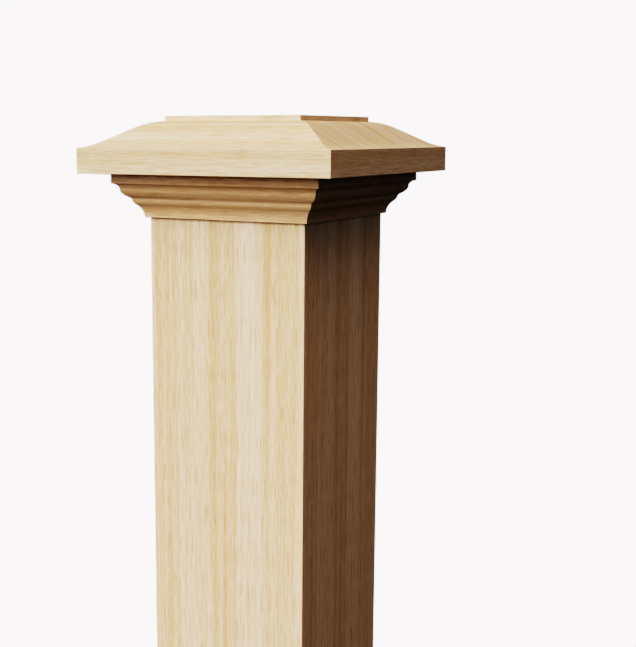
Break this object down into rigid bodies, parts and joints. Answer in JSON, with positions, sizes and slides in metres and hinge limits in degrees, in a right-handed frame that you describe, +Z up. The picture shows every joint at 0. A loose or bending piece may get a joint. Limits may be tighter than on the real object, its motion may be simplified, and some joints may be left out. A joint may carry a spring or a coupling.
{
  "type": "box newel post",
  "caption": "Hollow square timber newel post with mitred boards, a mitred crown moulding and a broad ogee cap, standing at the end of a stair or landing balustrade.",
  "frame": {"origin": "centre of the shaft's base, on the floor", "axes": "+Z up along the post, -Y out of the front face, +X out of the right face"},
  "size_m": [0.2524, 0.2524, 1.397],
  "materials": {
    "shaft_timber": "straight-grained pale hardwood, grain running up the post, fine sanded with a clear satin finish",
    "crown_timber": "straight-grained pale hardwood, grain running along each length, clear satin finish",
    "cap_timber": "straight-grained pale hardwood, grain running from side to side, clear satin finish"
  },
  "bodies": {
    "root": {"shaft_board_front": "shaft_timber", "shaft_board_right": "shaft_timber", "shaft_board_back": "shaft_timber", "shaft_board_left": "shaft_timber", "crown_moulding_front": "crown_timber", "crown_moulding_right": "crown_timber", "crown_moulding_back": "crown_timber", "crown_moulding_left": "crown_timber", "cap": "cap_timber"}
  },
  "joints": []
}
